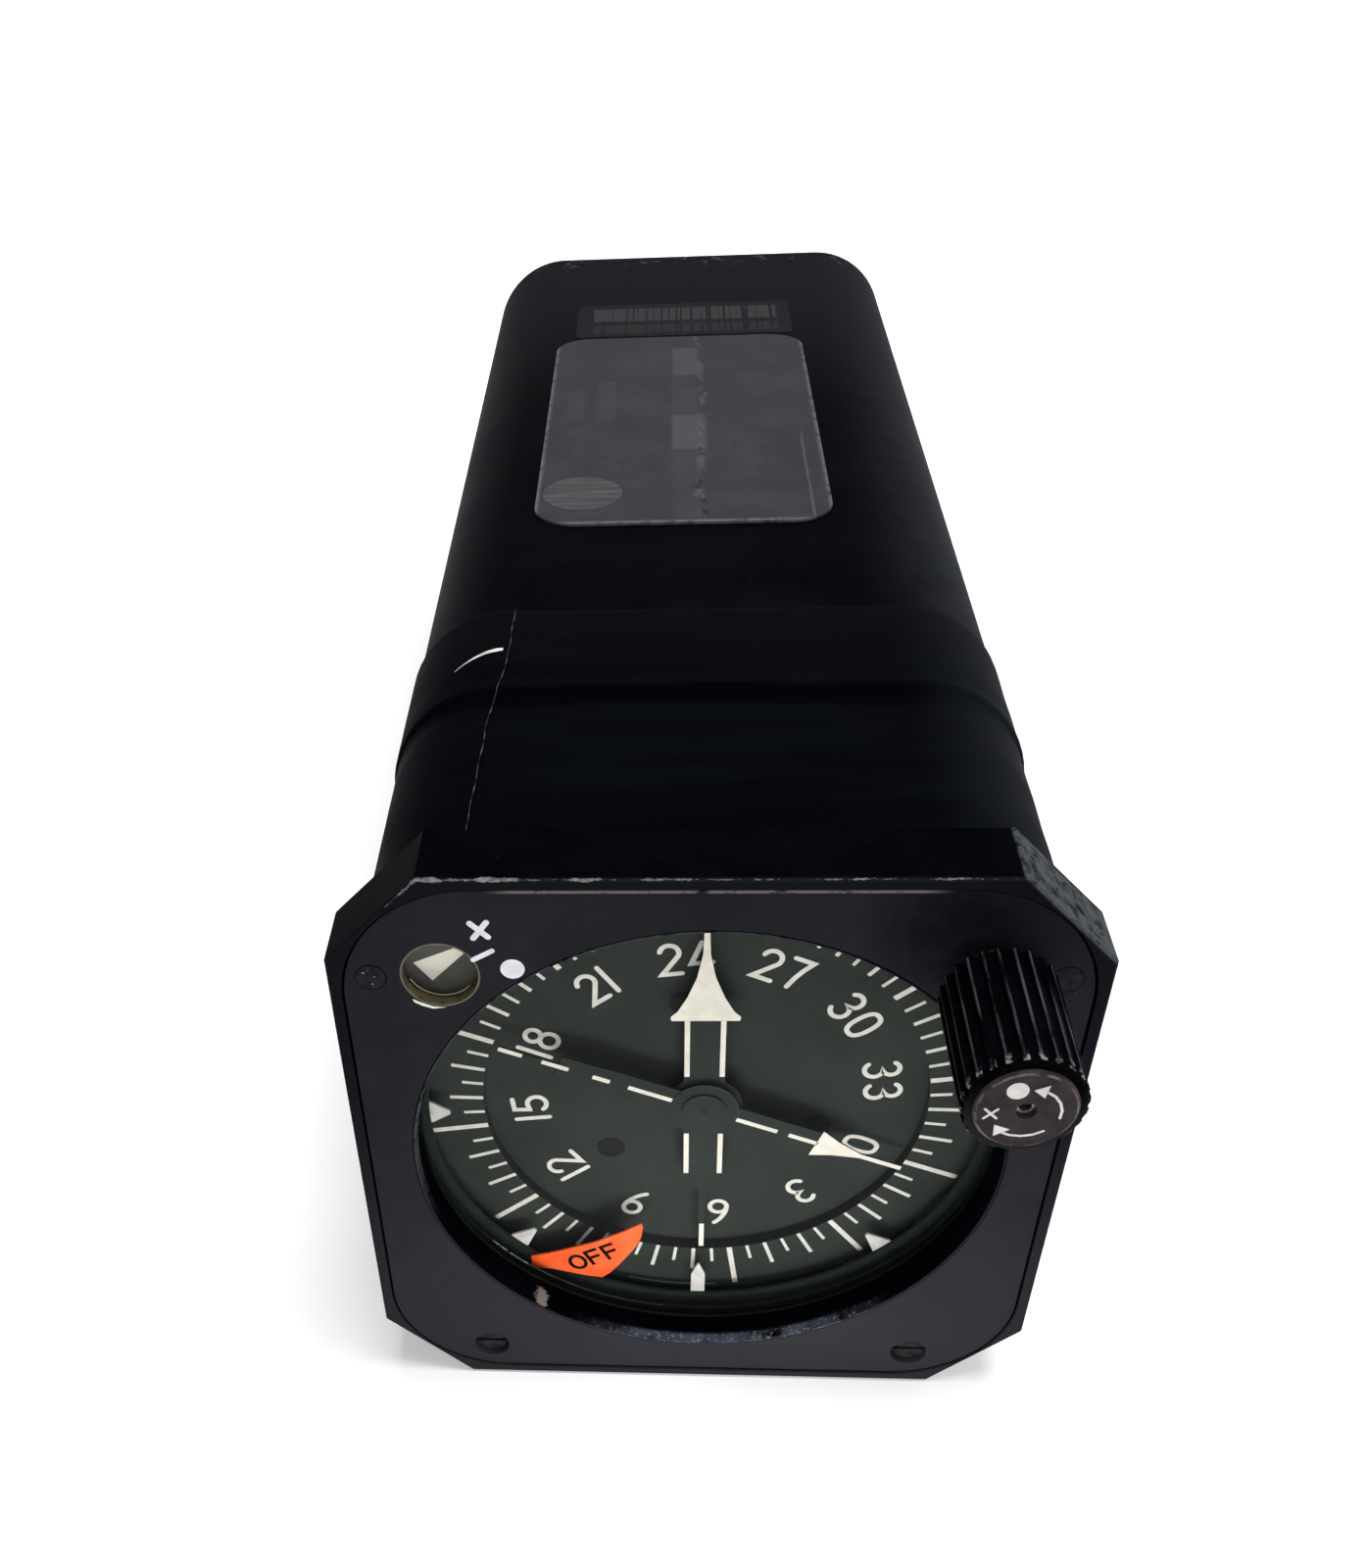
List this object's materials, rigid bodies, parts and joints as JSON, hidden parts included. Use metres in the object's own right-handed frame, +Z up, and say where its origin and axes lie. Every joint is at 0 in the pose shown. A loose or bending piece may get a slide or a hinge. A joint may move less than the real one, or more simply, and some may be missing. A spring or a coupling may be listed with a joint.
{
  "type": "compass indicator",
  "caption": "Panel compass indicator: square flanged bezel, turning compass card under two pointers, warning flag, sync annunciator and push knob, on a long rounded case.",
  "frame": {"origin": "on the dial axis, in the plane of the flange's rear face, which rests on the instrument panel", "axes": "+X to the right of the dial, +Y from the dial back into the case, +Z up the dial"},
  "size_m": [0.0826, 0.2491, 0.0826],
  "materials": {
    "bezel": "semi-gloss, worn to metal on the front edges",
    "face_panel": "fine matt, with cream marks",
    "face_panel_screws": "matt, chipped",
    "panel_lamps": "clear bulbs",
    "window_gasket": "matt",
    "window_glass": "clear, coated",
    "window_clamp_ring": "black anodised",
    "dial_mask": "matt",
    "index_marks": "matt cream",
    "compass_card": "matt, with cream marks",
    "card_screws": "matt",
    "card_tube": "turned",
    "card_gear": "cut and deburred",
    "card_bearing": "ground",
    "double_pointer": "matt cream on dark green",
    "double_pointer_tube": "ground",
    "double_pointer_gear": "cut and deburred",
    "single_pointer": "matt cream on dark green",
    "single_pointer_shaft": "ground",
    "off_flag": "matt fluorescent orange",
    "flag_arm": "dull",
    "flag_meter": "satin",
    "annunciator_window": "clear, browned with age",
    "annunciator_pointer": "matt olive with a cream wedge",
    "annunciator_meter": "satin",
    "knob": "moulded, chipped edge",
    "knob_cap": "gloss with cream marks",
    "knob_screw": "worn",
    "knob_shaft": "turned",
    "knob_spring": "wound wire",
    "knob_bush": "turned",
    "knob_gear": "cut and deburred",
    "sync_gear": "cut and deburred",
    "sync_resolver": "anodised",
    "front_plate": "milled",
    "front_plate_screws": "plated",
    "middle_plate": "milled",
    "rear_mech_plate": "milled",
    "spacer_posts": "turned",
    "idler_gear": "cut and deburred",
    "motor_pinion": "cut",
    "servo_motor": "ground",
    "heading_gear": "cut and deburred",
    "heading_synchro": "ground",
    "bearing_gear": "cut and deburred",
    "bearing_synchro": "ground",
    "single_synchro": "ground",
    "servo_board": "laminate with parts",
    "power_board": "laminate with parts",
    "transformer": "varnished laminations",
    "case_cover": "semi-gloss with scratches",
    "case_tape": "wrapped tape, creased",
    "data_plate": "dark anodised, scuffed, bare",
    "small_label": "bare",
    "rear_plate": "semi-gloss",
    "rear_plate_screws": "plated",
    "connector_shell": "olive plated",
    "connector_insert": "moulded",
    "connector_pins": "gilded",
    "connector_screws": "plated"
  },
  "bodies": {
    "case": {"bezel": "bezel", "face_panel": "face_panel", "face_panel_screws": "face_panel_screws", "panel_lamps": "panel_lamps", "window_gasket": "window_gasket", "window_glass": "window_glass", "window_clamp_ring": "window_clamp_ring", "dial_mask": "dial_mask", "index_marks": "index_marks", "card_bearing": "card_bearing", "flag_meter": "flag_meter", "annunciator_window": "annunciator_window", "annunciator_meter": "annunciator_meter", "knob_bush": "knob_bush", "sync_resolver": "sync_resolver", "front_plate": "front_plate", "front_plate_screws": "front_plate_screws", "middle_plate": "middle_plate", "rear_mech_plate": "rear_mech_plate", "spacer_posts": "spacer_posts", "servo_motor": "servo_motor", "heading_synchro": "heading_synchro", "bearing_synchro": "bearing_synchro", "single_synchro": "single_synchro", "servo_board": "servo_board", "power_board": "power_board", "transformer": "transformer", "case_cover": "case_cover", "case_tape": "case_tape", "data_plate": "data_plate", "small_label": "small_label", "rear_plate": "rear_plate", "rear_plate_screws": "rear_plate_screws", "connector_shell": "connector_shell", "connector_insert": "connector_insert", "connector_pins": "connector_pins", "connector_screws": "connector_screws"},
    "card": {"compass_card": "compass_card", "card_screws": "card_screws", "card_tube": "card_tube", "card_gear": "card_gear"},
    "idler": {"idler_gear": "idler_gear"},
    "motor_shaft": {"motor_pinion": "motor_pinion"},
    "heading_shaft": {"heading_gear": "heading_gear"},
    "double_pointer_set": {"double_pointer": "double_pointer", "double_pointer_tube": "double_pointer_tube", "double_pointer_gear": "double_pointer_gear"},
    "bearing_shaft": {"bearing_gear": "bearing_gear"},
    "single_pointer_set": {"single_pointer": "single_pointer", "single_pointer_shaft": "single_pointer_shaft"},
    "flag": {"off_flag": "off_flag", "flag_arm": "flag_arm"},
    "annunciator": {"annunciator_pointer": "annunciator_pointer"},
    "knob_drive": {"knob_gear": "knob_gear"},
    "push_knob": {"knob": "knob", "knob_cap": "knob_cap", "knob_screw": "knob_screw", "knob_shaft": "knob_shaft", "knob_spring": "knob_spring"},
    "sync_shaft": {"sync_gear": "sync_gear"}
  },
  "joints": [
    {"name": "card_turn", "type": "hinge", "parent": "case", "child": "card", "pos_m": [0, 0, 0], "axis": [0, 1, 0], "continuous": true},
    {"name": "idler_turn", "type": "hinge", "parent": "case", "child": "idler", "pos_m": [0.012, 0, -0.02079], "axis": [0, 1, 0], "continuous": true},
    {"name": "motor_turn", "type": "hinge", "parent": "case", "child": "motor_shaft", "pos_m": [0.02331, 0, -0.00947], "axis": [0, 1, 0], "continuous": true},
    {"name": "heading_turn", "type": "hinge", "parent": "case", "child": "heading_shaft", "pos_m": [-0.01697, 0, -0.01697], "axis": [0, 1, 0], "continuous": true},
    {"name": "double_pointer_turn", "type": "hinge", "parent": "case", "child": "double_pointer_set", "pos_m": [0, 0, 0], "axis": [0, 1, 0], "continuous": true},
    {"name": "bearing_turn", "type": "hinge", "parent": "case", "child": "bearing_shaft", "pos_m": [-0.01697, 0, 0.01697], "axis": [0, 1, 0], "continuous": true},
    {"name": "single_pointer_turn", "type": "hinge", "parent": "case", "child": "single_pointer_set", "pos_m": [0, 0, 0], "axis": [0, 1, 0], "continuous": true},
    {"name": "flag_swing", "type": "hinge", "parent": "case", "child": "flag", "pos_m": [-0.022, 0, -0.016], "axis": [0, 1, 0], "range_deg": [0, 62], "stiffness_Nm_per_rad": 0.0002, "springref_deg": -17.19},
    {"name": "annunciator_swing", "type": "hinge", "parent": "case", "child": "annunciator", "pos_m": [-0.029, 0, 0.0285], "axis": [0, 1, 0], "range_deg": [-24, 24], "stiffness_Nm_per_rad": 0.00002},
    {"name": "knob_turn", "type": "hinge", "parent": "case", "child": "knob_drive", "pos_m": [0.029, 0, 0.0285], "axis": [0, 1, 0], "continuous": true},
    {"name": "knob_push", "type": "slide", "parent": "knob_drive", "child": "push_knob", "axis": [0, 1, 0], "range_m": [0, 0.002], "stiffness_N_per_m": 400, "springref_m": -0.002, "deforming": ["knob_spring"]},
    {"name": "sync_turn", "type": "hinge", "parent": "case", "child": "sync_shaft", "pos_m": [0.01922, 0, 0.01905], "axis": [0, 1, 0], "continuous": true}
  ],
  "couplings": [
    {"joint": "heading_turn", "follows": "card_turn", "ratio": -1},
    {"joint": "idler_turn", "follows": "card_turn", "ratio": -4},
    {"joint": "motor_turn", "follows": "card_turn", "ratio": 12},
    {"joint": "bearing_turn", "follows": "double_pointer_turn", "ratio": -1},
    {"joint": "sync_turn", "follows": "knob_turn", "ratio": -0.41667}
  ]
}
